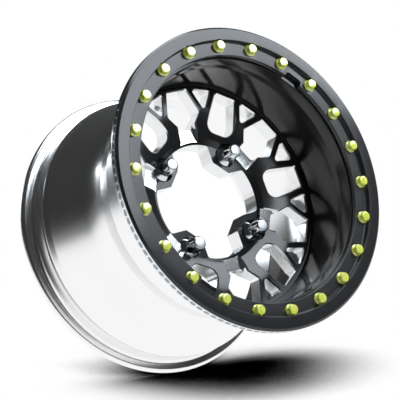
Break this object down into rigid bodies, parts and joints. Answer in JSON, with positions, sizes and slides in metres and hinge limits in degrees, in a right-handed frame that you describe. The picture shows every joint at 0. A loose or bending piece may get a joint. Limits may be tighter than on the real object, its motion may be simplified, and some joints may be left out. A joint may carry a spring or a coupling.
{
  "type": "car wheel",
  "caption": "Beadlock car wheel with a polished barrel, a black mesh centre with milled windows, a bolted black clamp ring and chrome lug nuts.",
  "frame": {"origin": "middle of the hub face, where the axle line meets the plane that bears on the hub", "axes": "+Z along the axle, out of the front of the wheel; +X through a hexagonal window of the centre"},
  "size_m": [0.4131, 0.4132, 0.2761],
  "materials": {
    "polished_barrel": "polished",
    "black_center": "satin black coat",
    "black_ring": "satin black coat",
    "yellow_bolts": "plated",
    "chrome_nuts": "polished"
  },
  "bodies": {
    "root": {"barrel": "polished_barrel", "wheel_center": "black_center", "beadlock_ring": "black_ring", "beadlock_bolts": "yellow_bolts", "lug_nuts": "chrome_nuts"}
  },
  "joints": []
}
